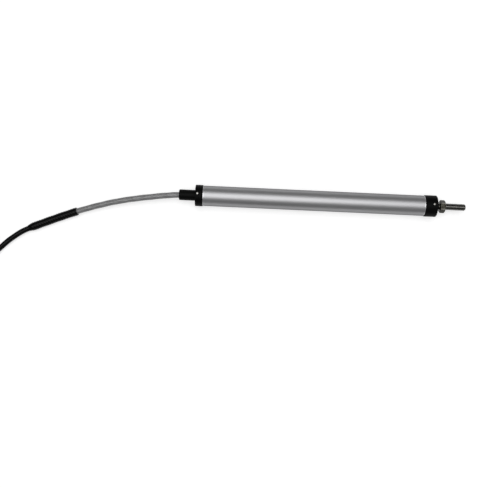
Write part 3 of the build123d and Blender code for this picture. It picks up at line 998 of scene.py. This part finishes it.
def coreRadius(gone, turn):
    return corePlan["diameter"] / 2


# fine strands twisted into one wire
def wireRadius(gone, turn):
    plan = corePlan
    twist = plan["strands"] * turn + 2 * math.pi * gone / plan["strandStep"]
    return plan["wireDiameter"] / 2 * (1 + plan["strandRise"] * math.cos(twist))


def makeCore(colour, side, fan, leadPath):
    plan = corePlan
    start = leadPath[-1]
    path = smoothLine(corePoints(start, side, fan), plan["steps"])
    total = lineLength(path)
    covered = partOfLine(path, 0, total * plan["insulated"])
    core = addCordPiece(
        "bared_core_" + colour, covered, coreRadius, plan["sides"],
        plan["diameter"] * plan["endShare"], colour + "_core")
    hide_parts("flying_core_" + colour)
    bare = partOfLine(path, total * plan["insulated"] - plan["wireInside"], total)
    wire = addCordPiece(
        "tinned_end_" + colour, bare, wireRadius, plan["wireSides"],
        plan["wireDiameter"] * plan["wireEndShare"], "tinned_pin")
    print("core:", colour, round(total, 4), "m")


# Floor and light

lightPlan = {
    "sunStrength": 1.9,
    "sunAngle": 55.0,
    "sunTurn": (-5.0, -4.0, 0.0),  # degrees from straight down
    "worldLevel": 0.23,
    "floorColour": "#c8c8c8",
    "floorLift": 0.58,  # added where the floor is seen or mirrored, which makes it white
    "floorSize": 12.0,
    "floorDrop": 0.1 * mm,
}


def makePaper():
    plan = lightPlan
    paper = bpy.data.materials.new("whitePaper")
    paper.use_nodes = True
    tree = paper.node_tree
    tree.nodes.clear()
    matt = addNode(tree, "ShaderNodeBsdfDiffuse", {"Color": linearColour(plan["floorColour"])})
    seen = addNode(tree, "ShaderNodeLightPath", {})
    glossy = addNode(tree, "ShaderNodeMath", {
        0: seen.outputs["Is Camera Ray"], 1: seen.outputs["Is Glossy Ray"]}, operation="MAXIMUM")
    through = addNode(tree, "ShaderNodeMath", {
        0: glossy.outputs[0], 1: seen.outputs["Is Transmission Ray"]}, operation="MAXIMUM")
    lift = addNode(tree, "ShaderNodeMath", {
        0: through.outputs[0], 1: plan["floorLift"]}, operation="MULTIPLY")
    glow = addNode(tree, "ShaderNodeEmission", {"Strength": lift.outputs[0]})
    both = addNode(tree, "ShaderNodeAddShader", {0: matt.outputs[0], 1: glow.outputs[0]})
    addNode(tree, "ShaderNodeOutputMaterial", {"Surface": both.outputs[0]})
    return paper


def makeFloor():
    plan = lightPlan
    shape = bmesh.new()
    bmesh.ops.create_grid(shape, x_segments=1, y_segments=1, size=plan["floorSize"] / 2)
    bmesh.ops.translate(shape, verts=shape.verts, vec=(0, 0, -plan["floorDrop"]))
    mesh = bpy.data.meshes.new("floor")
    shape.to_mesh(mesh)
    shape.free()
    mesh.materials.append(makePaper())
    floor = bpy.data.objects.new("floor", mesh)
    bpy.context.scene.collection.objects.link(floor)


def makeLight():
    plan = lightPlan
    sun = bpy.data.lights.new("softOverheadLight", "SUN")
    sun.energy = plan["sunStrength"]
    sun.angle = math.radians(plan["sunAngle"])
    lamp = bpy.data.objects.new("softOverheadLight", sun)
    lamp.rotation_euler = [math.radians(turn) for turn in plan["sunTurn"]]
    bpy.context.scene.collection.objects.link(lamp)

    world = bpy.data.worlds.new("studio")
    bpy.context.scene.world = world
    world.use_nodes = True
    tree = world.node_tree
    tree.nodes.clear()
    seen = addNode(tree, "ShaderNodeLightPath", {})
    level = addNode(tree, "ShaderNodeMapRange", {
        "Value": seen.outputs["Is Camera Ray"], "To Min": plan["worldLevel"], "To Max": 1.0})
    sky = addNode(tree, "ShaderNodeBackground", {
        "Color": (1, 1, 1, 1), "Strength": level.outputs["Result"]})
    addNode(tree, "ShaderNodeOutputWorld", {"Surface": sky.outputs[0]})
    bpy.context.scene.view_settings.view_transform = "Standard"


makeCamera()
makeHousingFinishes()
makeRodFinishes()
makeInnerFinishes()
makeCordFinishes()
dressFrame()
print("finishes made:", len(finishes))
makeTube()
makeCapScrew("front_cap_screw")
makeCapScrew("rear_cap_screw")
makePullRod()
route = routePoints()
cable, cablePath = makeGreyCable(route)
lead, leadPath = makeBlackLead(route)
sleeve = makeSleeve(route, cablePath)
ties = [makeTie(f"coil_tie_{number}", *tie) for number, tie in enumerate(tiePlan["ties"], 1)]
for colour, side, fan in corePlan["fans"]:
    makeCore(colour, side, fan, leadPath)
print("cords made")
makeFloor()
makeLight()
print("floor and light made")
